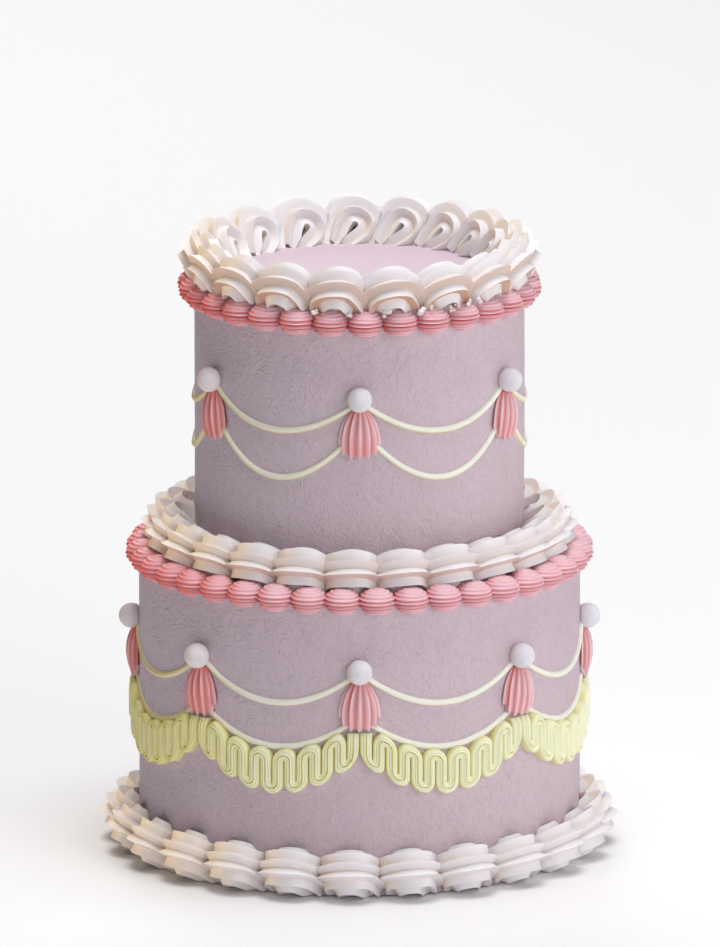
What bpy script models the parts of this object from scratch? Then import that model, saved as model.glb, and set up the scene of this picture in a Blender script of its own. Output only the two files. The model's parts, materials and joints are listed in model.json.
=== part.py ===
"""Two-tier piped tassel cake, in metres, +Z up, resting on z = 0 with the front towards -Y.

Two lilac tiers carry white borders of star-piped loops, pink borders of piped balls,
string swags that hang from sugar pearls, a pink tassel under each pearl and, on the
lower tier, a zigzag fringe under each swag.  Angles run from the front towards +X.
"""
import math
from collections import namedtuple

import bmesh
import bpy
from mathutils import Vector

GAP = 0.00035                 # clearance that touching pieces keep to each other

# Tiers: an 8 inch cake under a 6 inch cake
LOWER_RADIUS = 0.102
LOWER_HEIGHT = 0.140
UPPER_RADIUS = 0.076
UPPER_TOP = 0.2695
LOWER_SIDES = 64
UPPER_SIDES = 48

# Star nozzle of the white borders: ten fins, piped into upright loops
STAR_RADIUS = 0.0106
TURN_RADIUS = 0.0065          # middle line of the turn at the top of a loop
FIN_STEP = math.radians(36)
FIRST_FIN = math.radians(10)  # turned from the loop's plane
FINS = range(-3, 3)           # the fins that show round the outside of a loop
GROOVE = 0.0024               # depth of a groove under the line between two fins
SLIDE = 0.0028                # how far a fin slides back down a loop's side, each radian
LOOP_STATIONS = (0.0, 0.3, 0.7)

# Drift is how far the loops at the back have crept from an even spacing
LoopBorder = namedtuple("LoopBorder", "loops notch drift apex_radius apex_height tilt wall floor")
BOTTOM_BORDER = LoopBorder(24, math.radians(5), 0.0, 0.1085, 0.0127, math.radians(30),
                           LOWER_RADIUS, 0.0)
MIDDLE_BORDER = LoopBorder(24, math.radians(5), 0.0, 0.0900, 0.1500, math.radians(35),
                           UPPER_RADIUS, LOWER_HEIGHT + GAP)
TOP_BORDER = LoopBorder(18, math.radians(1.6), math.radians(-9.8), 0.0731, 0.2783,
                        math.radians(58), None, UPPER_TOP + GAP)
TOP_FOOT = (0.0597, 0.0752)   # inner and outer radius where the top border stands on the cake
WALL_MARGIN = 0.0015          # least thickness of a border in front of a wall

# Pink ball borders round the top edge of each tier
BallBorder = namedtuple("BallBorder", "balls first wall top middle reach rise height inside")
LOWER_BALLS = BallBorder(40, 0.0, LOWER_RADIUS, LOWER_HEIGHT, 0.1012, 0.0072, 0.0061, 0.1386,
                         0.0994)
UPPER_BALLS = BallBorder(30, math.radians(-4.1), UPPER_RADIUS, UPPER_TOP, 0.0772, 0.0070, 0.0063,
                         0.2635, None)
BALL_NECK = 0.52              # size where two balls meet, against the middle of a ball
BALL_STATIONS = (0.0, 0.28, 0.72)
BALL_ANGLES = tuple(math.radians(a) for a in (-42, 8, 58))
INNER_HEIGHT = 0.84           # height of a ball's inner side over the tier, against its rise

# Swags: bays between pearls, half-round piped string and its four rows
UPPER_BAYS = 6
LOWER_BAYS = 8
STRING_RADIUS = 0.0015
STRING_TURNS = tuple(math.radians(a) for a in (-90, -45, 0, 45, 90))
STRING_TAPER = 0.5            # 1 keeps the string full where it slopes, 0 lets it thin out
Swag = namedtuple("Swag", "lowest rise")
UPPER_SWAG = Swag(0.2113, 0.0155)
UPPER_SECOND_SWAG = Swag(0.1891, 0.0258)
LOWER_SWAG = Swag(0.0898, 0.0159)
LOWER_SECOND_SWAG = Swag(0.0690, 0.0159)
STRING_SEGMENTS = 6
STRING_END_GAP = 0.0005       # from the end of a second string to the tassel beside it
FURTHEST_END = 0.4            # share of the bay by which a second string is clear of a tassel
HALVINGS = 24                 # steps of the search for that end

# Pearls
Pearl = namedtuple("Pearl", "radius standoff height")
UPPER_PEARL = Pearl(0.00575, 0.0037, 0.2285)
LOWER_PEARL = Pearl(0.00585, 0.0035, 0.1066)
PEARL_SIDES = 8
PEARL_RINGS = tuple(math.radians(a) for a in (40, 80))

# Tassels: half of a finned tube that swells and ends in points.
# Each row is (drop from the top, half width, standoff from the wall).
TASSEL_ROWS = ((0.0, 0.0030, 0.0030), (0.0050, 0.0072, 0.0053), (0.0125, 0.0096, 0.0061))
TASSEL_FIN_STEP = math.radians(27.5)
TASSEL_GROOVE = 0.86          # radius in a groove, against the radius on a fin
TASSEL_BACK_WIDTH = 0.94      # width of the flat back, against the width at the last fins
# Ends of the middle fin and of the next fins and grooves towards the side
TASSEL_END_DROPS = (0.0236, 0.0215, 0.0232, 0.0206, 0.0218, 0.0164, 0.0166)
TASSEL_END = (0.0094, 0.0036)  # half width and standoff at the ends
TASSEL_HOLLOW = (0.0010, 0.0187)  # standoff and drop of the hollow underneath
TASSEL_LOWER_WIDTHS = ((0.0168, 0.0098), (0.0222, 0.0080))  # (drop, half width) over the ends
TASSEL_STANDOFF = 0.0068      # what the string ends clear in front of the wall

# Zigzag fringe under the lower tier's second swag
FRINGE_BENDS = 7              # rounded bends along the bottom edge of one bay
FRINGE_DEPTH = 0.0048
FRINGE_TOP_LIMIT = 0.0764     # cut ends under a tassel
FRINGE_BOTTOM = Swag(0.0470, 0.0175)
BEND_RADIUS = 0.0058
BEND_STATIONS = (0.0, 0.2, 0.8)
FRINGE_ROUNDING = 0.0012      # the front face stands back this much at its edges


def polar(radius, angle, height):
    """Point at an angle from the front, positive towards +X."""
    return Vector((radius * math.sin(angle), -radius * math.cos(angle), height))


def between(a, b, share):
    return a + (b - a) * share


def icing(name, red, green, blue, roughness):
    """Matt icing with a colour given as a screen shows it."""
    material = bpy.data.materials.new(name)
    material.use_nodes = True
    shader = material.node_tree.nodes["Principled BSDF"]
    linear = [(channel / 255) ** 2.2 for channel in (red, green, blue)]
    shader.inputs["Base Color"].default_value = (*linear, 1)
    shader.inputs["Roughness"].default_value = roughness
    shader.inputs["Metallic"].default_value = 0
    material.diffuse_color = (*linear, 1)
    return material


def solid_mesh(name, vertices, faces, sharp_degrees=50):
    """Closed mesh from points and faces, with its faces turned outwards."""
    mesh = bpy.data.meshes.new(name)
    mesh.from_pydata([tuple(v) for v in vertices], [], faces)
    shell = bmesh.new()
    shell.from_mesh(mesh)
    bmesh.ops.recalc_face_normals(shell, faces=shell.faces)
    shell.to_mesh(mesh)
    shell.free()
    mesh.shade_smooth()
    mesh.set_sharp_from_angle(angle=math.radians(sharp_degrees))
    return mesh


def place(name, mesh, material, angle=0.0):
    """Put a mesh made at the front into the scene, turned round the cake's axis."""
    piece = bpy.data.objects.new(name, mesh)
    piece.rotation_euler.z = angle
    bpy.context.scene.collection.objects.link(piece)
    piece.data.materials.clear()
    piece.data.materials.append(material)
    return piece


def loft(sections, closed):
    """Faces that join sections of equal length; an open loft gets two end faces."""
    points = len(sections[0])
    vertices = [point for section in sections for point in section]
    faces = []
    last = len(sections) if closed else len(sections) - 1
    for s in range(last):
        here = s * points
        after = (s + 1) % len(sections) * points
        for k in range(points):
            m = (k + 1) % points
            faces.append((here + k, after + k, after + m, here + m))
    if not closed:
        faces.append(tuple(range(points)))
        faces.append(tuple(last * points + k for k in range(points)))
    return vertices, faces


# --- tiers -------------------------------------------------------------------------------

def tier_mesh(name, radius, bottom, top, sides):
    sections = []
    for height in (bottom, top):
        turns = [2 * math.pi * k / sides for k in range(sides)]
        sections.append([polar(radius, turn, height) for turn in turns])
    return solid_mesh(name, *loft(sections, closed=False))


# --- white borders of star-piped loops -----------------------------------------------------

def fin_place(fin, offset):
    """Where a fin lies at an offset from a loop's middle: (up the loop, off its plane)."""
    turn = FIRST_FIN + fin * FIN_STEP
    bend = TURN_RADIUS + STAR_RADIUS * math.cos(turn)
    if bend > abs(offset):
        return math.sqrt(bend ** 2 - offset ** 2), STAR_RADIUS * math.sin(turn)
    widest = math.acos(max(-1, min(1, (abs(offset) - TURN_RADIUS) / STAR_RADIUS)))
    up = -SLIDE * (abs(turn) - widest)
    return up, math.copysign(STAR_RADIUS * math.sin(widest), turn)


def loop_section(border, offset):
    """Cross-section (radius, height) of a white border, from its outer foot to its inner one."""
    lean_r, lean_z = math.cos(border.tilt), math.sin(border.tilt)
    turn_r = border.apex_radius - TURN_RADIUS * lean_r
    turn_z = border.apex_height - TURN_RADIUS * lean_z
    inner_limit = border.wall + WALL_MARGIN if border.wall else 0
    fins = []
    for fin in FINS:
        up, off = fin_place(fin, offset)
        radius = turn_r + up * lean_r - off * lean_z
        height = turn_z + up * lean_z + off * lean_r
        fins.append(Vector((max(radius, inner_limit), max(height, border.floor))))
    core = Vector((turn_r, turn_z))
    grooved = range(1, 4) if border.wall else range(1, 5)
    section = [fins[0]]
    for k in range(1, len(fins)):
        section.append(fins[k])
        if k in grooved:
            middle = between(fins[k], fins[k + 1], 0.5)
            section.append(middle + (core - middle).normalized() * GROOVE)
    if border.wall:
        wall = border.wall + GAP
        section.append(Vector((wall, max(fins[-1].y - WALL_MARGIN, border.floor + WALL_MARGIN))))
        section.append(Vector((wall, border.floor)))
    else:
        section.extend(Vector((radius, border.floor)) for radius in TOP_FOOT)
    return section


def loop_turn(border, place):
    """Angle at a place along a white border, counted in loops from its first notch."""
    even = border.notch + place * 2 * math.pi / border.loops
    return even + border.drift * ((1 - math.cos(even)) / 2) ** 2


def loop_border_mesh(name, border):
    width = 2 * math.pi / border.loops * border.apex_radius
    sections = []
    for loop in range(border.loops):
        for share in LOOP_STATIONS:
            turn = loop_turn(border, loop + share)
            section = loop_section(border, (share - 0.5) * width)
            sections.append([polar(p.x, turn, p.y) for p in section])
    return solid_mesh(name, *loft(sections, closed=True), sharp_degrees=40)


# --- pink borders of balls -----------------------------------------------------------------

def ball_section(border, size):
    """Cross-section (radius, height) of a pink border, fitted to the edge of its tier."""
    wall = border.wall + GAP
    section = [Vector((wall, border.height - border.rise * size))]
    for turn in BALL_ANGLES:
        radius = border.middle + border.reach * size * math.cos(turn)
        section.append(Vector((radius, border.height + border.rise * size * math.sin(turn))))
    if border.inside:
        inner_height = border.height + border.rise * size * INNER_HEIGHT
        section.append(Vector((border.inside, inner_height)))
        section.append(Vector((border.inside, border.top + GAP)))
        section.append(Vector((wall, border.top + GAP)))
    else:
        section.append(Vector((wall, border.top)))
    return section


def ball_border_mesh(name, border):
    pitch = 2 * math.pi / border.balls
    sections = []
    for ball in range(border.balls):
        for share in BALL_STATIONS:
            size = BALL_NECK if share == 0 else 1
            turn = (ball + share) * pitch
            sections.append([polar(p.x, turn, p.y) for p in ball_section(border, size)])
    return solid_mesh(name, *loft(sections, closed=True))


# --- swags of piped string -----------------------------------------------------------------

def swag_height(swag, share):
    """Height of a swag's middle line at a share of its bay."""
    return swag.lowest + swag.rise * (1 - 2 * share) ** 2


def string_point(swag, bays, wall, share, side, thicken=0.0):
    """Point on one side of the string, which is flat against the wall and round in front."""
    bay = 2 * math.pi / bays
    slope = 4 * swag.rise * (1 - 2 * share) / (bay * wall)
    turn = STRING_TURNS[side]
    stand = wall + GAP - thicken + (STRING_RADIUS + 2 * thicken) * math.cos(turn)
    fullness = math.hypot(1, slope) ** STRING_TAPER
    height = swag_height(swag, share) + (STRING_RADIUS + thicken) * math.sin(turn) * fullness
    return polar(stand, share * bay, height)


def string_ring(swag, bays, wall, thicken=0.0):
    """Sections of one row of string all round a tier, with a cusp behind each pearl."""
    sections = []
    for bay in range(bays):
        turn = 2 * math.pi * bay / bays
        for step in range(STRING_SEGMENTS):
            share = step / STRING_SEGMENTS
            points = [string_point(swag, bays, wall, share, k, thicken)
                      for k in range(len(STRING_TURNS))]
            sections.append([turned(point, turn) for point in points])
    return sections


def turned(point, angle):
    c, s = math.cos(angle), math.sin(angle)
    return Vector((c * point.x - s * point.y, s * point.x + c * point.y, point.z))


def second_string_mesh(name, swag, bays, wall, tassel_top):
    """String of one bay that ends against the sides of two tassels."""
    ends = [clear_share(swag, bays, wall, tassel_top, k) for k in range(len(STRING_TURNS))]
    sections = []
    for step in range(STRING_SEGMENTS + 1):
        along = step / STRING_SEGMENTS
        shares = [between(end, 1 - end, along) for end in ends]
        sections.append([string_point(swag, bays, wall, share, k)
                         for k, share in enumerate(shares)])
    return solid_mesh(name, *loft(sections, closed=False))


def clear_share(swag, bays, wall, tassel_top, side):
    """Share of the bay at which one side of the string comes clear of the tassel."""
    inside, outside = 0.0, FURTHEST_END
    for _ in range(HALVINGS):
        middle = between(inside, outside, 0.5)
        point = string_point(swag, bays, wall, middle, side)
        standoff = -point.y - wall - GAP
        if point.x > tassel_half_width(tassel_top - point.z, standoff) + STRING_END_GAP:
            outside = middle
        else:
            inside = middle
    return outside


# --- tassels -------------------------------------------------------------------------------

def tassel_half_width(drop, standoff):
    """Half width of a tassel, without its grooves, at a drop below its top."""
    rows = [(row[0], row[1]) for row in TASSEL_ROWS] + list(TASSEL_LOWER_WIDTHS)
    width = rows[-1][1] if drop > 0 else 0.0
    for upper, lower in zip(rows, rows[1:]):
        if upper[0] <= drop < lower[0]:
            share = (drop - upper[0]) / (lower[0] - upper[0])
            width = between(upper[1], lower[1], share)
    return width * math.sqrt(1 - min(1, standoff / TASSEL_STANDOFF) ** 2)


def tassel_mesh(name, wall, top):
    """Tassel at the front: fins and grooves from side to side, and a flat back."""
    reach = len(TASSEL_END_DROPS) - 1
    back = wall + GAP

    def point(step, drop, width, depth):
        turn = step * TASSEL_FIN_STEP / 2
        size = TASSEL_GROOVE if step % 2 else 1
        return Vector((width * size * math.sin(turn), -back - depth * size * math.cos(turn),
                       top - drop))

    sections = []
    for drop, width, depth in TASSEL_ROWS + ((None, *TASSEL_END),):
        section = []
        for step in range(-reach, reach + 1):
            end = TASSEL_END_DROPS[abs(step)]
            section.append(point(step, end if drop is None else drop, width, depth))
        edge = section[-1]
        section.append(Vector((edge.x * TASSEL_BACK_WIDTH, -back, edge.z)))
        section.insert(0, Vector((-edge.x * TASSEL_BACK_WIDTH, -back, edge.z)))
        sections.append(section)
    vertices, faces = loft(sections, closed=False)
    underside = faces.pop()
    standoff, drop = TASSEL_HOLLOW
    vertices.append(Vector((0, -back - standoff, top - drop)))
    for k, corner in enumerate(underside):
        faces.append((corner, underside[(k + 1) % len(underside)], len(vertices) - 1))
    return solid_mesh(name, vertices, faces, sharp_degrees=35)


# --- pearls --------------------------------------------------------------------------------

def pearl_mesh(name, pearl, wall):
    """Pearl at the front, flat where it sits against the wall."""
    centre = Vector((0, -wall - pearl.standoff, pearl.height))
    cut = math.acos(-(pearl.standoff - GAP) / pearl.radius)
    vertices = [centre + Vector((0, -pearl.radius, 0))]
    for tip in PEARL_RINGS + (cut,):
        for k in range(PEARL_SIDES):
            turn = 2 * math.pi * k / PEARL_SIDES
            out = Vector((math.sin(tip) * math.sin(turn), -math.cos(tip),
                          math.sin(tip) * math.cos(turn)))
            vertices.append(centre + out * pearl.radius)
    faces = []
    for k in range(PEARL_SIDES):
        m = (k + 1) % PEARL_SIDES
        faces.append((0, 1 + k, 1 + m))
        for ring in range(len(PEARL_RINGS)):
            here = 1 + ring * PEARL_SIDES
            after = here + PEARL_SIDES
            faces.append((here + k, after + k, after + m, here + m))
    first = 1 + len(PEARL_RINGS) * PEARL_SIDES
    faces.append(tuple(first + k for k in range(PEARL_SIDES)))
    return solid_mesh(name, vertices, faces)


def grooved_pearl_mesh(name, pearl, swag, bays, wall):
    """Pearl with a groove in its back for the string that passes behind it."""
    whole = bpy.data.objects.new(name + "_whole", pearl_mesh(name + "_whole", pearl, wall))
    string = solid_mesh(name + "_string", *loft(string_ring(swag, bays, wall, GAP), closed=True))
    cutter = bpy.data.objects.new(name + "_cutter", string)
    cutter.hide_render = True
    cutter.display_type = "WIRE"
    for helper in (whole, cutter):
        bpy.context.scene.collection.objects.link(helper)
    groove = whole.modifiers.new("string groove", "BOOLEAN")
    groove.operation = "DIFFERENCE"
    groove.object = cutter
    finished = whole.evaluated_get(bpy.context.evaluated_depsgraph_get())
    mesh = bpy.data.meshes.new_from_object(finished)
    mesh.name = name
    bpy.data.objects.remove(whole)
    bpy.data.objects.remove(cutter)
    return mesh


# --- fringe --------------------------------------------------------------------------------

def fringe_mesh(name):
    """Zigzag fringe of one bay: a ribbon against the wall with rounded bends below."""
    bay = 2 * math.pi / LOWER_BAYS
    back = LOWER_RADIUS + GAP
    edge = GAP / LOWER_RADIUS / bay
    shares = [(bend + station) / FRINGE_BENDS
              for bend in range(FRINGE_BENDS) for station in BEND_STATIONS] + [1.0]
    sections = []
    for share in shares:
        turn = min(max(share, edge), 1 - edge) * bay
        under_string = swag_height(LOWER_SECOND_SWAG, share) - STRING_RADIUS - GAP
        top = min(under_string, FRINGE_TOP_LIMIT)
        from_middle = (share * FRINGE_BENDS % 1 - 0.5) * 2 * BEND_RADIUS
        round_up = BEND_RADIUS - math.sqrt(max(0.0, BEND_RADIUS ** 2 - from_middle ** 2))
        bottom = swag_height(FRINGE_BOTTOM, share) + round_up
        front = back + FRINGE_DEPTH - (FRINGE_ROUNDING if round_up > BEND_RADIUS / 2 else 0)
        sections.append([polar(back, turn, top), polar(front, turn, top - FRINGE_ROUNDING),
                         polar(front, turn, bottom + FRINGE_ROUNDING), polar(back, turn, bottom)])
    return solid_mesh(name, *loft(sections, closed=False))


# --- the cake ------------------------------------------------------------------------------

def add_tiers(lilac):
    place("lower_tier", tier_mesh("lower_tier", LOWER_RADIUS, 0, LOWER_HEIGHT, LOWER_SIDES), lilac)
    upper = tier_mesh("upper_tier", UPPER_RADIUS, LOWER_HEIGHT + GAP, UPPER_TOP, UPPER_SIDES)
    place("upper_tier", upper, lilac)


def add_borders(white, pink):
    borders = (("bottom_white_border", BOTTOM_BORDER), ("middle_white_border", MIDDLE_BORDER),
               ("top_white_border", TOP_BORDER))
    for name, border in borders:
        place(name, loop_border_mesh(name, border), white)
    for name, border in (("lower_pink_border", LOWER_BALLS), ("upper_pink_border", UPPER_BALLS)):
        place(name, ball_border_mesh(name, border), pink, border.first)


def add_swags(tier, bays, wall, pearl, first, second, sugar, pink, cream):
    """Pearls, tassels and both rows of string round one tier."""
    bay = 2 * math.pi / bays
    tassel_top = pearl.height - pearl.radius - GAP
    pearl_shape = grooved_pearl_mesh(tier + "_pearl", pearl, first, bays, wall)
    tassel_shape = tassel_mesh(tier + "_tassel", wall, tassel_top)
    second_shape = second_string_mesh(tier + "_second_string", second, bays, wall, tassel_top)
    string = solid_mesh(tier + "_string", *loft(string_ring(first, bays, wall), closed=True))
    place(f"{tier}_first_string", string, cream)
    for k in range(bays):
        place(f"{tier}_pearl_{k + 1}", pearl_shape, sugar, k * bay)
        place(f"{tier}_tassel_{k + 1}", tassel_shape, pink, k * bay)
        place(f"{tier}_second_string_{k + 1}", second_shape, cream, k * bay)


def add_fringe(lime):
    shape = fringe_mesh("fringe")
    for k in range(LOWER_BAYS):
        place(f"fringe_{k + 1}", shape, lime, k * 2 * math.pi / LOWER_BAYS)


def build():
    for leftover in list(bpy.data.objects):
        bpy.data.objects.remove(leftover)
    lilac = icing("lilac icing", 205, 185, 196, 0.6)
    white = icing("white buttercream", 236, 230, 230, 0.5)
    pink = icing("pink buttercream", 226, 150, 158, 0.5)
    sugar = icing("white sugar pearl", 236, 234, 238, 0.6)
    cream = icing("cream piping", 226, 224, 196, 0.5)
    lime = icing("pale lime piping", 222, 220, 164, 0.5)
    add_tiers(lilac)
    add_borders(white, pink)
    add_swags("upper", UPPER_BAYS, UPPER_RADIUS, UPPER_PEARL, UPPER_SWAG, UPPER_SECOND_SWAG,
              sugar, pink, cream)
    add_swags("lower", LOWER_BAYS, LOWER_RADIUS, LOWER_PEARL, LOWER_SWAG, LOWER_SECOND_SWAG,
              sugar, pink, cream)
    add_fringe(lime)


build()
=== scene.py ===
"""Looks of the two-tier piped tassel cake.

The frame's solids give the sizes and places.  Each piece here is the finely made form of
one kind of solid, rides on the cake and has an icing of its own.  Lengths are metres and
+Z is up.  Angles run from the front (-Y) towards +X; what repeats is made at the front
and turned round the cake's axis.
"""
import json
import math
import random
from collections import namedtuple

import bmesh
import bpy
import numpy as np
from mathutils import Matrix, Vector, noise

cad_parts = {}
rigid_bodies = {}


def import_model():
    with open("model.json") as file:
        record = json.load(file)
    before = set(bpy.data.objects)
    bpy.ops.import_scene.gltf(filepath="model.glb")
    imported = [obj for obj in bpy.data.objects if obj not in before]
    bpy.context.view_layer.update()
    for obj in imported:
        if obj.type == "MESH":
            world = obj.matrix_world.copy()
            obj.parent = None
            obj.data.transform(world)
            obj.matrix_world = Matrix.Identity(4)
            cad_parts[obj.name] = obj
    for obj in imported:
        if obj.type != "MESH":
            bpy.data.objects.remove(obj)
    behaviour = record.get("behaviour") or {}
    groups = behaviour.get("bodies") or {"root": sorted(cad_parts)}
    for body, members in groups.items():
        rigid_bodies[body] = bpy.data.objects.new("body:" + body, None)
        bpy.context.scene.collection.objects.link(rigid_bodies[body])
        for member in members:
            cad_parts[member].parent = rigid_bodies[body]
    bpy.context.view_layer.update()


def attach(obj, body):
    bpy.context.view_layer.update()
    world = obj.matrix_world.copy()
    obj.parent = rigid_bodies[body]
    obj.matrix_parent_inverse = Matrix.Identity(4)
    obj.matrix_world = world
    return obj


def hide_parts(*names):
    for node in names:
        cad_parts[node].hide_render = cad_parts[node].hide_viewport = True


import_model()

GAP = 0.00035                 # clearance that the solids keep to each other

# Tiers
LOWER_RADIUS = 0.102
LOWER_HEIGHT = 0.140
UPPER_RADIUS = 0.076
UPPER_TOP = 0.2695
EDGE_ROUNDING = 0.002         # where the wall of a tier turns into its top
EDGE_STEPS = 4
LOWER_TIER_ROWS = (240, 60, 12)     # points round the wall, up it and in over the top
UPPER_TIER_ROWS = (200, 55, 30)
EVEN_FOOT = 0.001             # height over which a wall stays even, above what it stands on
INNER_RING = 0.02             # smallest ring of the top, against the largest
UNEVENNESS = ((30, 0.00025), (130, 0.00008))    # left by smoothing: (waves a metre, height)

# Star nozzle of the white borders: ten sharp fins with hollow grooves, piped into loops
STAR_FINS = 10
STAR_RADIUS = 0.0106
STAR_VALLEY = 0.0074
STAR_STEPS = 8                # points from one fin to the next
STAR_HOLLOWING = 1.5          # 1 gives a fin straight sides, more gives it hollow ones
FIRST_FIN = math.radians(10)  # turned from the loop's plane
TURN_RADIUS = 0.0065          # middle line of the turn at the top of a loop
LOOP_LEAN = math.radians(39)  # of a loop in its own plane, away from the piping's way round
LEG_LENGTH = 0.0130
LEG_CLOSING = 0.62            # how much nearer to each other the legs are at their foot
LEG_CURVE = 1.5               # 1 closes them evenly, more closes them towards the foot
LEG_STEPS = 8
TURN_STEPS = 24
LOOP_FULLNESS = 0.8           # 1 is round at the turn, less is squarer
LOOP_SPREAD = 0.0042          # how far a loop's lower fins are pushed up at its sides
SLOT_LEAST = 0.0001           # half of the gap that is left where the slot is shut
SLOT_WIDTH = 0.0007           # half of the slot that stays open between a loop's legs
SLOT_POINT = 1.1              # how much further the slot reaches into the turn
SLOT_SHARPNESS = 8            # of that point
SLOT_LENGTH = 0.0052
SLOT_DEPTH = 0.004            # over which the slot opens, from inside the loop to its face
SUNK = 0.0005                 # how far a border's foot is pressed into the icing under it
RIM_FALL = 1.5                # slope of a foot that hangs over the rim of its tier
LOOP_UNEVENNESS = 0.015       # of the size of hand-piped loops
LEAN_UNEVENNESS = 2           # degrees

# Drift is how far the loops at the back have crept from an even spacing; edge is the radius
# beyond which a border's foot hangs over the rim of its tier
LoopBorder = namedtuple("LoopBorder",
                        "loops notch drift apex_radius apex_height tilt wall floor edge")
BOTTOM_BORDER = LoopBorder(24, math.radians(5), 0.0, 0.1085, 0.0127, math.radians(30),
                           LOWER_RADIUS, 0.0, 1.0)
MIDDLE_BORDER = LoopBorder(24, math.radians(5), 0.0, 0.0900, 0.1500, math.radians(35),
                           UPPER_RADIUS, LOWER_HEIGHT - SUNK, 0.0990)
TOP_BORDER = LoopBorder(18, math.radians(1.6), math.radians(-9.8), 0.0731, 0.2783,
                        math.radians(58), 0.0, UPPER_TOP - SUNK, 0.0785)

# Pink borders of balls: each a stack of flat ridges round an upright axis, like a hive
BallBorder = namedtuple("BallBorder", "balls first outside width rise height")
LOWER_BALLS = BallBorder(40, 0.0, 0.1084, 0.0089, 0.0061, 0.1386)
UPPER_BALLS = BallBorder(30, math.radians(-4.1), 0.0842, 0.0089, 0.0063, 0.2635)
BALL_RIDGES = 10              # from the foot of a ball to its top
BALL_GROOVE = 0.15            # depth of a groove, against the size of the ball
BALL_ROWS = 6                 # rows of points from one ridge to the next
BALL_SIDES = 28
BALL_HOLLOWING = 1.3          # 1 gives ridges straight sides, more gives them hollow ones
BALL_UNEVENNESS = 0.02
BALL_FULLNESS = 0.85          # 1 is round from the side, less is flatter at foot and top
BALL_TOP_GROOVE = 0.25        # depth of the grooves at the top, against those at the foot

# Swags: bays between pearls, piped string and its four rows
UPPER_BAYS = 6
LOWER_BAYS = 8
STRING_RADIUS = 0.0015
STRING_SIDES = 14
STRING_STEPS = 40             # along one bay
SECOND_STRING_SPAN = (0.05, 0.95)    # share of the bay, from tassel to tassel
STRING_TAPER = 0.5            # 1 keeps the string full where it slopes, 0 lets it thin out
Swag = namedtuple("Swag", "lowest rise")
UPPER_SWAG = Swag(0.2113, 0.0155)
UPPER_SECOND_SWAG = Swag(0.1891, 0.0258)
LOWER_SWAG = Swag(0.0898, 0.0159)
LOWER_SECOND_SWAG = Swag(0.0690, 0.0159)

# Pearls
Pearl = namedtuple("Pearl", "radius standoff height")
UPPER_PEARL = Pearl(0.00575, 0.0037, 0.2285)
LOWER_PEARL = Pearl(0.00585, 0.0035, 0.1066)
PEARL_WRAP = (0.03, math.pi * 0.72)    # where the ball starts and ends, from front to wall
PEARL_ROWS = 22
PEARL_SIDES = 36

# Tassels: half of a finned tube; rows of (drop from the top, half width, standoff)
TASSEL_FIN_STEP = math.radians(27.5)
TASSEL_STEPS = 8              # points from one fin to the next
TASSEL_OVERRUN = 2            # points past the outer fins
TASSEL_LENGTH_ROWS = 22
TASSEL_HOLLOWING = 1.4        # 1 gives fins straight sides, more gives them hollow ones
TASSEL_POINTEDNESS = 1.6      # the same for the points at their ends
TASSEL_OVERLAP = 0.0008       # how far a tassel goes up behind its pearl
TASSEL_UNDERCUT = 0.003       # how far it is hollow from below
TASSEL_ROWS = ((0.0, 0.0038, 0.0032), (0.0040, 0.0066, 0.0050), (0.0076, 0.0084, 0.0059),
               (0.0125, 0.0096, 0.0061), (0.0170, 0.0098, 0.0054), (0.0236, 0.0094, 0.0034))
TASSEL_GROOVE = 0.84
TASSEL_PAINTED_SHADE_DROP = 0.0075          # drop over which the painted shade under the pearl fades
TASSEL_ENDS = (0.0236, 0.0232, 0.0218, 0.0166)      # drop of each fin's point from the middle
TASSEL_NOTCHES = (0.0215, 0.0206, 0.0164)           # drop of the grooves between them

# Zigzag fringe
FRINGE_BENDS = 7
FRINGE_DEPTH = 0.0048
FRINGE_TOP_LIMIT = 0.0776
FRINGE_TUCK = 0.0009          # how far the upper bends reach over the string's lower edge
FRINGE_END_THINNING = 0.45    # share of the depth that the cut ends lose, under the tassels
FRINGE_CUT_LEVELS = (1.6, 2)  # of the cut end, where 1 is the upper bends' start and 2 the cut
STRAND_FILL = 0.985           # width of a strand, against the room that it has
STRAND_STEPS = 6
STRAND_BEND_STEPS = 10
STRAND_RIDGE = 0.97           # share of the depth above which no shade is painted on a strand
STRAND_GROOVE = 3             # how fast the painted shade deepens below it
# Most painted shade that a strand's grooves take
STRAND_DEEPEST = 0.7
FRINGE_BOTTOM = Swag(0.0470, 0.0175)
# Half of the strand's profile from its edge to its middle: (share of the width, of the depth)
STRAND_PROFILE = ((1.0, 0.0), (1.0, 0.5), (0.94, 0.68), (0.84, 0.80), (0.72, 0.87), (0.60, 0.90),
                  (0.50, 0.88), (0.42, 0.85), (0.35, 0.92), (0.28, 0.99), (0.21, 1.0),
                  (0.14, 0.95), (0.07, 0.83), (0.0, 0.76))

# Bits of white buttercream squeezed out onto the upper balls: (angle, height, size)
CRUMBS = ((-15.1, 0.2692, 0.0022), (-3.6, 0.2681, 0.0020), (8.6, 0.2690, 0.0024),
          (20.1, 0.2695, 0.0026), (23.6, 0.2708, 0.0016), (31.7, 0.2688, 0.0019),
          (33.6, 0.2704, 0.0014), (38.2, 0.2710, 0.0020), (42.7, 0.2702, 0.0020))
CRUMB_RADIUS = 0.0803         # from the cake's axis
CRUMB_LOBES = 4
CRUMB_SPREAD = 0.6            # of the lobes, against the size of the crumb
CRUMB_LOBE_SIZES = (0.35, 0.6)
CRUMB_ROWS = 8
CRUMB_SIDES = 10
CRUMB_TIP = 0.15              # angle at which a lobe's rows start and end
CRUMB_WAVES = 500             # of its ragged surface, a metre
CRUMB_RAGGEDNESS = 0.35
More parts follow.
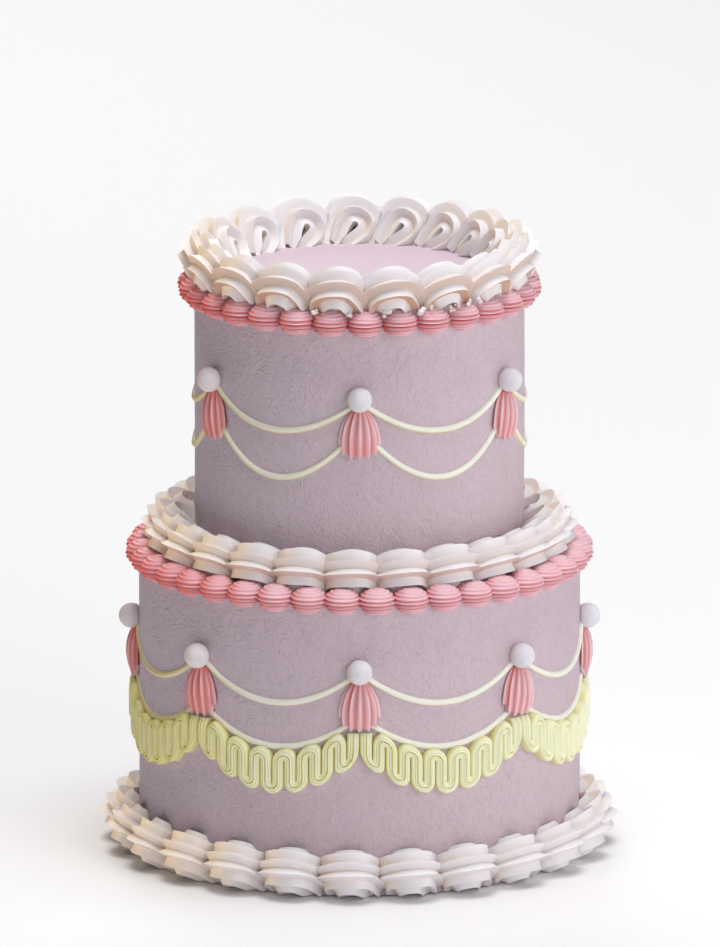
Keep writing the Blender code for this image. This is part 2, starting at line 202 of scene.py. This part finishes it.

# Where buttercream has painted shade, warmer on the cake's far side, but not at the back, and
# darker underneath
FAR_SIDE = Vector((-0.9, 0.4, 0.0))
LEFTWARDS = Vector((-1.0, 0.0, 0.0))
FAR_START = (0.045, 0.0)      # (distance to the left of the cake's axis, share of the painted shade)
FAR_END = (0.075, 0.3)
BACK = Vector((0.0, 1.0, 0.0))
UNDERSIDE = Vector((0.0, 0.0, -1.0))
UNDERSIDE_DEEPENS = Vector((0.0, 0.0, 5.0))  # of the painted shade underneath, with each metre of height
LEVEL_TOP = Vector((0.0, 0.0, 1.0))
RIPPLES_RISE = Vector((3200, 1500, 4000))    # turns of the wall's ripples, in radians a metre

VIEW_ELEVATION = math.radians(14)
VIEW_DISTANCE = 9.0
FRAME_HEIGHT = 0.4371         # of the upright plane through the cake that the picture takes in
VIEW_CENTRE = Vector((0.0002, 0.0, 0.1741))

# Soft round lights, all aimed at the middle of the cake
Light = namedtuple("Light", "name place size power colour")
LIGHTS = (
    Light("window", (1.7, -1.8, 1.4), 1.6, 18.5, (1.0, 1.0, 1.0)),
    Light("ceiling", (0.1, -0.1, 4.0), 2.7, 134, (1.0, 1.0, 1.0)),
    Light("front fill", (0.6, -2.4, 0.5), 1.4, 11, (1.0, 1.0, 1.0)),
    Light("right fill", (2.4, 0.0, 0.5), 1.4, 13, (1.0, 1.0, 1.0)),
    Light("back light", (-0.4, 2.3, 1.5), 1.4, 17, (1.0, 1.0, 1.0)),
)
# Stand for the glow of light that thick piping lets through: they reach the borders alone
GLOWS = (
    Light("left glow", (-2.2, 0.3, 0.35), 1.4, 18.5, (1.0, 0.86, 0.68)),
    Light("front glow", (0.0, -2.3, 0.05), 1.4, 7, (1.0, 0.93, 0.89)),
)
LIGHT_AIM = Vector((0, 0, 0.14))
ROOM_LIGHT = 0.048
FLOOR_REACH = 6.0
FLOOR_HEIGHT = -0.0005


# --- camera --------------------------------------------------------------------------------

def add_camera():
    data = bpy.data.cameras.new("camera")
    data.sensor_width = 36
    data.lens = data.sensor_width * VIEW_DISTANCE / FRAME_HEIGHT
    camera = bpy.data.objects.new("camera", data)
    away = Vector((0, -math.cos(VIEW_ELEVATION), math.sin(VIEW_ELEVATION)))
    camera.location = VIEW_CENTRE + away * VIEW_DISTANCE
    camera.rotation_euler = (math.pi / 2 - VIEW_ELEVATION, 0, 0)
    bpy.context.scene.collection.objects.link(camera)
    bpy.context.scene.camera = camera


# --- materials -----------------------------------------------------------------------------

class Value:
    """A number, colour or vector that a node gives; sums on numbers add Math nodes."""

    def __init__(self, paint, socket):
        self.paint = paint
        self.socket = socket

    def __add__(self, other):
        return self.paint.math("ADD", self, other)

    def __radd__(self, other):
        return self.paint.math("ADD", other, self)

    def __rsub__(self, other):
        return self.paint.math("SUBTRACT", other, self)

    def __mul__(self, other):
        return self.paint.math("MULTIPLY", self, other)

    def __pow__(self, other):
        return self.paint.math("POWER", self, other)


class Paint:
    """One icing: its nodes and the shader that they feed."""

    def __init__(self, name):
        self.material = bpy.data.materials.new(name)
        self.material.use_nodes = True
        self.tree = self.material.node_tree
        self.shader = self.tree.nodes["Principled BSDF"]

    def node(self, kind, settings=None, inputs=None, output=0):
        """Add a node: its settings first, then the values or links of its sockets."""
        node = self.tree.nodes.new(kind)
        for setting, value in (settings or {}).items():
            if setting == "stops":
                self.set_stops(node.color_ramp, value)
            else:
                setattr(node, setting, value)
        for socket, value in (inputs or {}).items():
            self.feed(node.inputs[socket], value)
        return Value(self, node.outputs[output])

    def set_stops(self, ramp, stops):
        while len(ramp.elements) < len(stops):
            ramp.elements.new(0.5)
        for element, (position, shade) in zip(ramp.elements, stops):
            element.position = position
            element.color = (shade, shade, shade, 1)

    def feed(self, socket, value):
        if isinstance(value, Value):
            self.tree.links.new(value.socket, socket)
        else:
            socket.default_value = value

    def surface(self, **inputs):
        """Feed the shader's sockets, named with _ for a space."""
        for name, value in inputs.items():
            self.feed(self.shader.inputs[name.replace("_", " ")], value)
        return self.material

    def place(self):
        return self.node("ShaderNodeTexCoord", output="Object")

    def math(self, operation, first, second=0.0):
        return self.node("ShaderNodeMath", {"operation": operation}, {0: first, 1: second})

    def grain(self, scale, detail=2.0, distortion=0.0):
        """Noise of a scale in waves a metre."""
        return self.node("ShaderNodeTexNoise", inputs={
            "Vector": self.place(), "Scale": scale, "Detail": detail,
            "Distortion": distortion, "Roughness": 0.5})

    def ramp(self, value, *stops):
        return self.node("ShaderNodeValToRGB", {"stops": stops}, {0: value})

    def mix(self, share, first, second):
        return self.node("ShaderNodeMix", {"data_type": "RGBA"}, {
            0: share, 6: first, 7: second}, output=2)

    def hollow(self):
        """How deep in a groove, or in the shade under a pearl, the surface lies, from 0 on a
        ridge to 1: the share of painted shade there.
        """
        return self.node("ShaderNodeAttribute", {"attribute_name": "hollow"}, output="Fac")

    def facing(self, direction):
        """How far the surface faces a direction, from 0 to 1."""
        normal = self.node("ShaderNodeTexCoord", output="Normal")
        return self.math("MAXIMUM", self.along(normal, direction), 0.0)

    def painted_shade_side(self):
        """How much painted shade the surface takes for facing or lying on the far side of the
        cake, but not at the back.
        """
        lying = self.ramp(self.along(self.place(), LEFTWARDS), FAR_START, FAR_END)
        return (self.facing(FAR_SIDE) + lying) * (1 - self.facing(BACK))

    def outwards(self):
        """How far the surface faces away from the cake's axis, from 0 to 1."""
        level = self.node("ShaderNodeVectorMath", {"operation": "MULTIPLY"},
                          {0: self.place(), 1: (1, 1, 0)})
        return self.facing(self.node("ShaderNodeVectorMath", {"operation": "NORMALIZE"},
                                     {0: level}))

    def along(self, vector, direction):
        """How far a vector reaches in a direction."""
        return self.node("ShaderNodeVectorMath", {"operation": "DOT_PRODUCT"},
                         {0: vector, 1: direction}, output="Value")

    def relief(self, height, distance):
        return self.node("ShaderNodeBump", inputs={
            "Height": height, "Distance": distance, "Strength": 1.0})


def shown(red, green, blue):
    """Colour given as a screen shows it."""
    channels = [channel / 255 for channel in (red, green, blue)]
    linear = [c / 12.92 if c <= 0.04045 else ((c + 0.055) / 1.055) ** 2.4 for c in channels]
    return (*linear, 1)


def lilac_icing():
    """Matt icing over a tier, with soft ripples that flow over it like a fingerprint's, painted
    shade in its creases and a top painted lighter.
    """
    paint = Paint("lilac icing")
    patches = paint.grain(11, 3.0)
    flow = paint.along(paint.place(), RIPPLES_RISE) + paint.grain(22, 1.0) * 150
    ripples = paint.math("SINE", flow + paint.grain(320, 2.0) * 15)
    ripples = ripples * paint.ramp(paint.grain(110, 1.0), (0.4, 0.35), (0.6, 1))
    creases = paint.grain(380, 1.0, 1.0)
    level = paint.facing(LEVEL_TOP)
    height = (ripples * 0.26 + creases * 3.4 + paint.grain(40, 2.0) * 1.5) * (1 - level * 0.6)
    colour = paint.mix(paint.ramp(patches, (0.3, 0), (0.7, 1)),
                       shown(201, 182, 192), shown(206, 187, 197))
    # Painted shade: the creases are darkened
    colour = paint.mix(paint.ramp(creases, (0.3, 1), (0.55, 0)) * 0.2, colour,
                       shown(170, 151, 163))
    # Painted light: the level top is lighter and pinker
    colour = paint.mix(level, colour, shown(211, 190, 202))
    return paint.surface(Base_Color=colour, Roughness=0.62 + patches * 0.12,
                         Normal=paint.relief(height, 0.0002))


def buttercream(name, light, deep, shaded, underneath, gloss=0.42):
    """Soft satin buttercream, with painted shade: deeper in colour in its grooves, warmer on its
    far side and darker below.
    """
    paint = Paint(name)
    patches = paint.grain(45, 3.0)
    # Painted shade in the grooves
    colour = paint.mix(paint.hollow() ** 1.4 * 0.9, light, deep)
    # Painted shade, warmer, on the cake's far side
    colour = paint.mix(paint.painted_shade_side() * 0.9, colour, shaded)
    # Painted shade on undersides that face outwards, darker higher up the cake
    below = paint.facing(UNDERSIDE) * paint.along(paint.place(), UNDERSIDE_DEEPENS)
    below = below * paint.ramp(paint.outwards(), (0.0, 0), (0.3, 1))
    colour = paint.mix(below, colour, underneath)
    height = paint.grain(900, 3.0) * 0.3 + paint.grain(170, 2.0)
    return paint.surface(Base_Color=colour, Roughness=gloss + patches * 0.14,
                         Normal=paint.relief(height, 0.0001), Subsurface_Weight=0.4,
                         Subsurface_Radius=(1, 1, 1), Subsurface_Scale=0.0008)


def pearl_sugar():
    """Matt white sugar with a fine grain, and painted warm shade on the cake's far side."""
    paint = Paint("white sugar pearl")
    grains = paint.grain(2600, 2.0)
    patches = paint.grain(220, 2.0)
    colour = paint.mix(paint.ramp(patches, (0.35, 0), (0.7, 1)), shown(226, 224, 231),
                       shown(217, 213, 221))
    # Painted warm shade on the cake's far side
    colour = paint.mix(paint.painted_shade_side() * 0.6, colour, shown(238, 208, 186))
    return paint.surface(Base_Color=colour, Roughness=0.55 + grains * 0.15,
                         Normal=paint.relief(grains, 0.00006))


def floor_finish():
    paint = Paint("plain floor")
    return paint.surface(Base_Color=shown(242, 241, 242), Roughness=0.85)


# --- making pieces -------------------------------------------------------------------------

def around(radius, angle, height):
    """Points at angles from the front, positive towards +X."""
    radius, angle, height = np.broadcast_arrays(radius, angle, height)
    return np.stack([radius * np.sin(angle), -radius * np.cos(angle), height], -1)


def turned(points, angle):
    """Points turned round the cake's axis."""
    c, s = math.cos(angle), math.sin(angle)
    return points @ np.array([[c, s, 0], [-s, c, 0], [0, 0, 1]])


class Shell:
    """Points, faces and depth in grooves of one piece, gathered sheet by sheet."""

    def __init__(self):
        self.points = []
        self.hollows = []
        self.faces = []
        self.count = 0

    def add(self, points, hollow):
        """Add points and return their numbers."""
        numbers = self.count + np.arange(len(points))
        self.points.append(points)
        self.hollows.append(np.broadcast_to(hollow, len(points)))
        self.count += len(points)
        return numbers

    def sheet(self, points, hollow, loop=False, tube=True, ends=False):
        """Faces over a grid of points (along, across), closed as loop, as tube or at its ends."""
        along, across = points.shape[:2]
        hollow = np.broadcast_to(hollow, (along, across))
        number = self.add(points.reshape(-1, 3), hollow.reshape(-1)).reshape(along, across)
        rows = np.vstack([number, number[:1]]) if loop else number
        grid = np.hstack([rows, rows[:, :1]]) if tube else rows
        quads = np.stack([grid[:-1, :-1], grid[:-1, 1:], grid[1:, 1:], grid[1:, :-1]], -1)
        self.faces.extend(quads.reshape(-1, 4).tolist())
        if ends:
            self.cap(points[0], number[0])
            self.cap(points[-1], number[-1])

    def cap(self, ring, numbers):
        middle = self.add(ring.mean(axis=0)[None, :], 0.0)[0]
        for k, number in enumerate(numbers):
            self.faces.append((number, numbers[(k + 1) % len(numbers)], middle))

    def piece(self, name, finish, slot, nodes, sharp=35):
        """Make the mesh, let it ride on the cake and stand for the frame's nodes."""
        mesh = bpy.data.meshes.new(name)
        mesh.from_pydata(np.concatenate(self.points).tolist(), [], self.faces)
        shell = bmesh.new()
        shell.from_mesh(mesh)
        bmesh.ops.recalc_face_normals(shell, faces=shell.faces)
        shell.to_mesh(mesh)
        shell.free()
        mesh.shade_smooth()
        mesh.set_sharp_from_angle(angle=math.radians(sharp))
        depth = mesh.attributes.new("hollow", "FLOAT", "POINT")
        depth.data.foreach_set("value", np.concatenate(self.hollows).astype(np.float32))
        mesh.materials.append(finish)
        piece = bpy.data.objects.new(name, mesh)
        bpy.context.scene.collection.objects.link(piece)
        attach(piece, "root")
        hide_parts(*nodes)
        return piece


# --- tiers ---------------------------------------------------------------------------------

def tier_shell(radius, bottom, top, numbers):
    """Wall with faint hand-smoothed unevenness, a rounded edge and the top."""
    shell = Shell()
    sides, rows, rings = numbers
    turns = np.arange(sides) * 2 * math.pi / sides
    heights = np.linspace(bottom, top - EDGE_ROUNDING, rows)
    curve = np.linspace(0, math.pi / 2, EDGE_STEPS + 1)[1:]
    inwards = np.linspace(1, INNER_RING, rings) * (radius - EDGE_ROUNDING)
    section = [(radius, z) for z in heights]
    section += [(radius - EDGE_ROUNDING * (1 - math.cos(a)),
                 top - EDGE_ROUNDING * (1 - math.sin(a))) for a in curve]
    section += [(r, top) for r in inwards[1:]]
    points = np.array([around(r, turns, z) for r, z in section])
    flat = points.reshape(-1, 3)
    for k, point in enumerate(flat):
        r = math.hypot(point[0], point[1])
        uneven = sum(noise.noise(Vector(point) * waves) * height for waves, height in UNEVENNESS)
        if bottom + EVEN_FOOT < point[2] < top - EDGE_ROUNDING:
            flat[k, :2] *= 1 + uneven / r
        elif point[2] > top - EDGE_ROUNDING and r < radius - EDGE_ROUNDING:
            flat[k, 2] += uneven
    shell.sheet(points, 0.0, ends=True)
    return shell


# --- white borders of star-piped loops -------------------------------------------------------

def star_outline():
    """Turn, radius and depth of hollow round the nozzle, with sharp fins and hollow grooves."""
    share = np.tile(np.arange(STAR_STEPS) / STAR_STEPS, STAR_FINS)
    turn = (np.repeat(np.arange(STAR_FINS), STAR_STEPS) + share) * 2 * math.pi / STAR_FINS
    rise = np.abs(2 * share - 1) ** STAR_HOLLOWING
    return turn + FIRST_FIN, STAR_VALLEY + (STAR_RADIUS - STAR_VALLEY) * rise, 1 - rise


def star_loop(border, size, lean):
    """One loop at the front: a star tube up one leg, round the turn and down the other."""
    turn, radius, hollow = star_outline()
    legs = np.linspace(LEG_LENGTH, 0, LEG_STEPS + 1)[:-1]
    bends = np.linspace(-math.pi / 2, math.pi / 2, TURN_STEPS + 1) - lean
    drop = np.concatenate([legs, np.zeros(len(bends)), legs[::-1]])[:, None]
    bend = np.concatenate([np.full(len(legs), bends[0]), bends,
                           np.full(len(legs), bends[-1])])[:, None]
    off = radius * np.sin(turn) * size
    slot = np.clip(1 - drop / SLOT_LENGTH, 0, 1) * np.clip(off / SLOT_DEPTH + 0.5, 0, 1)
    slot = slot * (1 + SLOT_POINT * np.cos(bend + lean).clip(0) ** SLOT_SHARPNESS)
    slot = SLOT_LEAST + SLOT_WIDTH * slot
    middle = TURN_RADIUS * size * (1 - LEG_CLOSING * (drop / LEG_LENGTH) ** LEG_CURVE)
    reach = np.maximum(middle + radius * np.cos(turn) * size, slot)
    side = drop * math.sin(lean) + reach * np.sin(bend)
    up = reach * arch(bend + lean, bend) - drop * math.cos(lean)
    lean_r, lean_z = math.cos(border.tilt), math.sin(border.tilt)
    out = border.apex_radius + (up - TURN_RADIUS) * lean_r - off * lean_z
    height = border.apex_height + (up - TURN_RADIUS) * lean_z + off * lean_r
    lower = np.clip(-off / STAR_VALLEY, 0, 1) * np.clip(1 - drop / LEG_LENGTH, 0, 1)
    height = height + LOOP_SPREAD * lower * (side / (TURN_RADIUS + STAR_RADIUS)) ** 2
    angle = np.arctan2(side, out)
    out = np.maximum(np.hypot(side, out), border.wall)
    ground = border.floor - np.maximum(out - border.edge, 0) * RIM_FALL
    return around(out, angle, np.maximum(height, ground)), np.broadcast_to(hollow, off.shape)


def arch(turn, bend):
    """Height over a turn at a bend from upright, a little squarer than a round one."""
    return np.cos(bend) + np.cos(turn).clip(0) ** LOOP_FULLNESS - np.cos(turn).clip(0)


def loop_turn(border, place):
    """Angle at a place along a white border, counted in loops from its first notch."""
    even = border.notch + place * 2 * math.pi / border.loops
    return even + border.drift * ((1 - math.cos(even)) / 2) ** 2


def add_loop_border(name, border, finish):
    shell = Shell()
    draw = random.Random(name)
    for loop in range(border.loops):
        size = 1 + draw.uniform(-LOOP_UNEVENNESS, LOOP_UNEVENNESS)
        lean = LOOP_LEAN + math.radians(draw.uniform(-LEAN_UNEVENNESS, LEAN_UNEVENNESS))
        points, hollow = star_loop(border, size, lean)
        shell.sheet(turned(points, loop_turn(border, loop + 0.5)), hollow, ends=True)
    if border is TOP_BORDER:
        add_crumbs(shell, draw)
    return shell.piece(name + "_piping", finish, "white_buttercream", [name], sharp=28)


def add_crumbs(shell, draw):
    """Ragged bits, each a few small lobes."""
    tip = np.linspace(CRUMB_TIP, math.pi - CRUMB_TIP, CRUMB_ROWS)[:, None]
    turn = np.arange(CRUMB_SIDES) * 2 * math.pi / CRUMB_SIDES
    ball = np.stack(np.broadcast_arrays(np.sin(tip) * np.cos(turn), np.sin(tip) * np.sin(turn),
                                        np.cos(tip)), -1)
    for degrees, height, size in CRUMBS:
        middle = around(CRUMB_RADIUS, math.radians(degrees), height)
        for _ in range(CRUMB_LOBES):
            offset = [draw.uniform(-CRUMB_SPREAD, CRUMB_SPREAD) for _ in range(3)]
            lobe = middle + (np.array(offset) + ball * draw.uniform(*CRUMB_LOBE_SIZES)) * size
            flat = lobe.reshape(-1, 3)
            for k, point in enumerate(flat):
                ragged = noise.noise(Vector(point) * CRUMB_WAVES) * CRUMB_RAGGEDNESS
                flat[k] += (point - middle) * ragged
            shell.sheet(lobe, 0.0, ends=True)


# --- pink borders of ridged balls ------------------------------------------------------------

def ridged_ball(border, size):
    """One ball at the front, from its foot to its top."""
    rows = BALL_RIDGES * BALL_ROWS
    rise = np.linspace(-math.pi / 2, math.pi / 2, rows + 1)[1:-1, None]
    share = (rise / math.pi + 0.5) * BALL_RIDGES % 1
    hollow = 1 - np.abs(2 * share - 1) ** BALL_HOLLOWING
    hollow = hollow * (1 - (1 - BALL_TOP_GROOVE) * (0.5 + np.sin(rise) / 2))
    ridge = (1 - BALL_GROOVE * hollow) * size
    turn = np.arange(BALL_SIDES) * 2 * math.pi / BALL_SIDES
    girth = border.width * ridge * np.cos(rise) ** BALL_FULLNESS
    side = girth * np.sin(turn)
    out = border.outside - border.width + girth * np.cos(turn)
    height = border.height + border.rise * ridge * np.sin(rise)
    return np.stack(np.broadcast_arrays(side, -out, height), -1), hollow


def add_ball_border(name, border, finish):
    shell = Shell()
    draw = random.Random(name)
    for ball in range(border.balls):
        points, hollow = ridged_ball(border, 1 + draw.uniform(-BALL_UNEVENNESS, BALL_UNEVENNESS))
        angle = border.first + (ball + 0.5) * 2 * math.pi / border.balls
        shell.sheet(turned(points, angle), hollow, ends=True)
    return shell.piece(name + "_piping", finish, "pink_buttercream", [name], sharp=40)


# --- swags, pearls and tassels ---------------------------------------------------------------

def swag_height(swag, share):
    return swag.lowest + swag.rise * (1 - 2 * share) ** 2


def string_tube(swag, bays, wall, shares):
    """Half-round string along a swag at the front, flat where it sits on the wall."""
    share = np.asarray(shares)[:, None]
    bay = 2 * math.pi / bays
    slope = 4 * swag.rise * (1 - 2 * share) / (bay * wall)
    turn = np.arange(STRING_SIDES) * 2 * math.pi / STRING_SIDES
    out = wall + np.maximum(STRING_RADIUS * np.cos(turn), -SUNK) * np.ones_like(share)
    fullness = np.hypot(1, slope) ** STRING_TAPER
    height = swag_height(swag, share) + STRING_RADIUS * np.sin(turn) * fullness
    return around(out, share * bay, height)


def add_strings(tier, bays, wall, first, second, finish):
    bay = 2 * math.pi / bays
    shell = Shell()
    tube = string_tube(first, bays, wall, np.arange(STRING_STEPS) / STRING_STEPS)
    shell.sheet(np.concatenate([turned(tube, k * bay) for k in range(bays)]), 0.0, loop=True)
    shell.piece(f"{tier}_first_string_piping", finish, "cream_piping", [f"{tier}_first_string"])
    tube = string_tube(second, bays, wall, np.linspace(*SECOND_STRING_SPAN, STRING_STEPS + 1))
    for k in range(bays):
        shell = Shell()
        shell.sheet(turned(tube, k * bay), 0.0, ends=True)
        name = f"{tier}_second_string_{k + 1}"
        shell.piece(name + "_piping", finish, "cream_piping", [name])


def add_pearls(tier, bays, wall, pearl, finish):
    tip = np.linspace(*PEARL_WRAP, PEARL_ROWS)[:, None]
    turn = np.arange(PEARL_SIDES) * 2 * math.pi / PEARL_SIDES
    side = pearl.radius * np.sin(tip) * np.sin(turn)
    front = wall + pearl.standoff + pearl.radius * np.cos(tip)
    front = np.maximum(front, wall) * np.ones_like(side)
    height = pearl.height + pearl.radius * np.sin(tip) * np.cos(turn)
    points = np.stack([side, -front, height], -1)
    for k in range(bays):
        shell = Shell()
        shell.sheet(turned(points, k * 2 * math.pi / bays), 0.0, ends=True)
        name = f"{tier}_pearl_{k + 1}"
        shell.piece(name + "_sugar", finish, "sugar_pearl", [name], sharp=60)


def tassel_points(wall, top):
    """Finned front of a tassel from its top to its points, with a hollow underneath."""
    reach = len(TASSEL_ENDS) - 1
    half = reach * TASSEL_STEPS + TASSEL_OVERRUN
    across = np.arange(-half, half + 1) / TASSEL_STEPS
    nearness = np.abs(2 * (across % 1) - 1)               # 1 on a fin, 0 in a groove
    away = nearness ** TASSEL_HOLLOWING
    turn = across * TASSEL_FIN_STEP
    fin = np.abs(across)
    ends = np.interp(fin, np.arange(reach + 1), TASSEL_ENDS)
    notches = np.interp(fin, np.arange(reach) + 0.5, TASSEL_NOTCHES)
    ends = notches + (ends - notches) * nearness ** TASSEL_POINTEDNESS
    rows = np.array(TASSEL_ROWS)
    along = np.linspace(0, 1, TASSEL_LENGTH_ROWS)[:, None]
    drop = along * ends
    width = np.interp(drop, rows[:, 0], rows[:, 1])
    depth = np.interp(drop, rows[:, 0], rows[:, 2])
    size = TASSEL_GROOVE + (1 - TASSEL_GROOVE) * away
    side = width * size * np.sin(turn)
    front = wall + depth * size * np.cos(turn)
    # Painted shade in the grooves between fins and under the pearl
    hollow = np.maximum(1 - away, 1 - drop / TASSEL_PAINTED_SHADE_DROP)
    return np.stack([side, -front, top - drop], -1), hollow


def add_tassels(tier, bays, wall, pearl, finish):
    top = pearl.height - pearl.radius + TASSEL_OVERLAP
    points, hollow = tassel_points(wall, top)
    under = points[-1:] * np.array([1, 0, 1]) + np.array([0, 1, 0]) * -wall
    under[..., 2] += TASSEL_UNDERCUT
    back = points[::-1] * np.array([1, 0, 1]) + np.array([0, -wall, 0])
    grid = np.concatenate([points, under, back[1:]])
    depth = np.concatenate([hollow, hollow[-1:], hollow[:0:-1]])
    for k in range(bays):
        shell = Shell()
        shell.sheet(turned(grid, k * 2 * math.pi / bays), depth, loop=True, tube=False)
        name = f"{tier}_tassel_{k + 1}"
        shell.piece(name + "_piping", finish, "pink_tassel", [name], sharp=30)


# --- fringe ----------------------------------------------------------------------------------

def strand_sections():
    """Sections down one bay's strand, laid flat: (x, lift, level) over the strand's width.

    x runs along the bay; level 0 is where the lower bends begin, 1 where the upper ones do
    and 2 the cut ends; lift is the height above that level."""
    length = 2 * math.pi / LOWER_BAYS * LOWER_RADIUS
    strands = 2 * FRINGE_BENDS
    bend = length / strands / 2                       # radius of a bend's middle line
    across = bend * STRAND_FILL * np.array([c for c, _ in full_profile()])
    sections = []
    for strand in range(strands):
        way = 1 if strand % 2 == 0 else -1            # 1 going down, -1 going up
        x = (2 * strand + 1) * bend + way * across
        levels = np.linspace((1 + way) / 2, (1 - way) / 2, STRAND_STEPS)
        if strand == 0:
            levels = np.append(FRINGE_CUT_LEVELS[::-1], levels)
        if strand == strands - 1:
            levels = np.append(levels, FRINGE_CUT_LEVELS)
        sections += [(x, 0 * x, level) for level in levels]
        if strand < strands - 1:
            middle = (2 * strand + 2) * bend
            reach = bend - way * across
            for turn in np.linspace(0, math.pi, STRAND_BEND_STEPS + 1)[1:-1]:
                sections.append((middle - reach * math.cos(turn),
                                 -way * reach * math.sin(turn), (1 - way) / 2))
    return sections, length, bend


def full_profile():
    """Profile of a strand from one edge to the other: (share of the width, of the depth)."""
    return STRAND_PROFILE + tuple((-c, d) for c, d in STRAND_PROFILE[-2::-1])


def fringe_grid():
    """One bay of fringe against the wall, between the swag of its foot and the string."""
    sections, length, bend = strand_sections()
    depth = FRINGE_DEPTH * np.array([d for _, d in full_profile()])
    points = []
    for x, lift, level in sections:
        share = x / length
        low = swag_height(FRINGE_BOTTOM, share) + 2 * bend
        high = swag_height(LOWER_SECOND_SWAG, share) - STRING_RADIUS + FRINGE_TUCK - 2 * bend
        high = np.minimum(high, FRINGE_TOP_LIMIT - 2 * bend)
        height = low + min(level, 1) * (high - low) + lift
        cut = max(level - 1, 0)
        height += cut * (FRINGE_TOP_LIMIT - height)
        out = LOWER_RADIUS + depth * (1 - FRINGE_END_THINNING * cut ** 3)
        points.append(around(out, share * 2 * math.pi / LOWER_BAYS, height))
    return np.array(points)


def add_fringe(finish):
    grid = fringe_grid()
    # Painted shade in the grooves across each strand
    hollow = [(STRAND_RIDGE - depth) * STRAND_GROOVE for _, depth in full_profile()]
    hollow = np.clip(hollow, 0, STRAND_DEEPEST)
    for k in range(LOWER_BAYS):
        shell = Shell()
        shell.sheet(turned(grid, k * 2 * math.pi / LOWER_BAYS), hollow, ends=True)
        name = f"fringe_{k + 1}"
        shell.piece(name + "_piping", finish, "lime_fringe", [name], sharp=50)


# --- light and floor -------------------------------------------------------------------------

def add_floor():
    mesh = bpy.data.meshes.new("floor")
    corners = [(x * FLOOR_REACH, y * FLOOR_REACH, FLOOR_HEIGHT)
               for x, y in ((-1, -1), (1, -1), (1, 1), (-1, 1))]
    mesh.from_pydata(corners, [], [(0, 1, 2, 3)])
    mesh.materials.append(floor_finish())
    floor = bpy.data.objects.new("floor", mesh)
    bpy.context.scene.collection.objects.link(floor)


def gathered_borders():
    """Collection of the piped borders, outside the scene's own, for the glow to reach."""
    borders = bpy.data.collections.new("borders")
    for piece in bpy.context.scene.objects:
        if piece.name.endswith("_border_piping"):
            borders.objects.link(piece)
    return borders


def add_lights(borders):
    world = bpy.data.worlds.new("room")
    world.use_nodes = True
    background = world.node_tree.nodes["Background"]
    background.inputs["Color"].default_value = (1.0, 1.0, 1.0, 1)
    background.inputs["Strength"].default_value = ROOM_LIGHT
    bpy.context.scene.world = world
    for light in LIGHTS:
        add_light(light)
    for light in GLOWS:
        add_light(light).light_linking.receiver_collection = borders
    bpy.context.scene.view_settings.view_transform = "Standard"


def add_light(light):
    data = bpy.data.lights.new(light.name, "AREA")
    data.shape = "DISK"
    data.size = light.size
    data.energy = light.power
    data.color = light.colour
    lamp = bpy.data.objects.new(light.name, data)
    lamp.location = light.place
    aim = LIGHT_AIM - lamp.location
    lamp.rotation_euler = aim.to_track_quat("-Z", "Y").to_euler()
    bpy.context.scene.collection.objects.link(lamp)
    return lamp


# --- the cake --------------------------------------------------------------------------------

def add_cake():
    lilac = lilac_icing()
    white = buttercream("white buttercream", shown(231, 229, 234), shown(228, 219, 218),
                        shown(246, 224, 192), shown(200, 163, 138))
    pink = buttercream("pink buttercream", shown(232, 192, 203), shown(196, 66, 54),
                       shown(220, 58, 28), shown(180, 40, 16), 0.36)
    tassel_pink = buttercream("pink tassel icing", shown(235, 206, 216), shown(212, 118, 110),
                              shown(232, 108, 90), shown(230, 90, 68), 0.40)
    cream = buttercream("cream piping", shown(240, 240, 228), shown(226, 220, 180),
                        shown(222, 194, 112), shown(222, 210, 150), 0.40)
    lime = buttercream("lime piping", shown(239, 240, 214), shown(229, 225, 152),
                       shown(232, 214, 44), shown(236, 226, 110), 0.38)
    sugar = pearl_sugar()
    lower = tier_shell(LOWER_RADIUS, 0.0, LOWER_HEIGHT, LOWER_TIER_ROWS)
    lower.piece("lower_tier_icing", lilac, "lilac_icing", ["lower_tier"])
    upper = tier_shell(UPPER_RADIUS, LOWER_HEIGHT + GAP, UPPER_TOP, UPPER_TIER_ROWS)
    upper.piece("upper_tier_icing", lilac, "lilac_icing", ["upper_tier"])
    add_loop_border("bottom_white_border", BOTTOM_BORDER, white)
    add_loop_border("middle_white_border", MIDDLE_BORDER, white)
    add_loop_border("top_white_border", TOP_BORDER, white)
    add_ball_border("lower_pink_border", LOWER_BALLS, pink)
    add_ball_border("upper_pink_border", UPPER_BALLS, pink)
    for tier, bays, wall, pearl, first, second in (
            ("upper", UPPER_BAYS, UPPER_RADIUS, UPPER_PEARL, UPPER_SWAG, UPPER_SECOND_SWAG),
            ("lower", LOWER_BAYS, LOWER_RADIUS, LOWER_PEARL, LOWER_SWAG, LOWER_SECOND_SWAG)):
        add_strings(tier, bays, wall, first, second, cream)
        add_pearls(tier, bays, wall, pearl, sugar)
        add_tassels(tier, bays, wall, pearl, tassel_pink)
    add_fringe(lime)


add_camera()
add_cake()
add_floor()
add_lights(gathered_borders())
